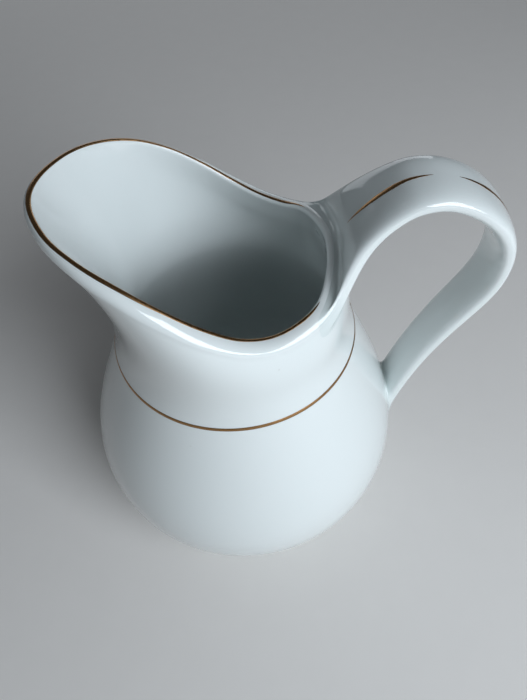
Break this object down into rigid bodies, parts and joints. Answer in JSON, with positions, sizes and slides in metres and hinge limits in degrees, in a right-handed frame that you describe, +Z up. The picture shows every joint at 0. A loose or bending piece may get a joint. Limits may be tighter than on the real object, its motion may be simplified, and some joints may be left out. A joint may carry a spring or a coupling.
{
  "type": "cream jug",
  "caption": "Pear-shaped porcelain cream jug with a wide pouring spout, a high-looped strap handle, a foot ring and thin gilt lines.",
  "frame": {"origin": "on the table plane, under the middle of the whole jug's bounding box", "axes": "+Z up along the body's axis, +X toward the handle and -X toward the spout, the jug symmetric about the plane y = 0"},
  "size_m": [0.11, 0.0902, 0.1184],
  "materials": {
    "glazed_porcelain": "clear glossy glaze over white porcelain",
    "bare_porcelain": "unglazed, ground smooth, matt",
    "gilding": "fired bright gold, hand brushed, lightly worn"
  },
  "bodies": {
    "root": {"jug_body": "glazed_porcelain", "foot_ring": "bare_porcelain", "handle": "glazed_porcelain", "upper_handle_luting": "glazed_porcelain", "lower_handle_luting": "glazed_porcelain", "rim_gilding": "gilding", "shoulder_gilding": "gilding", "handle_gilding_upper": "gilding", "handle_gilding_back": "gilding"}
  },
  "joints": []
}
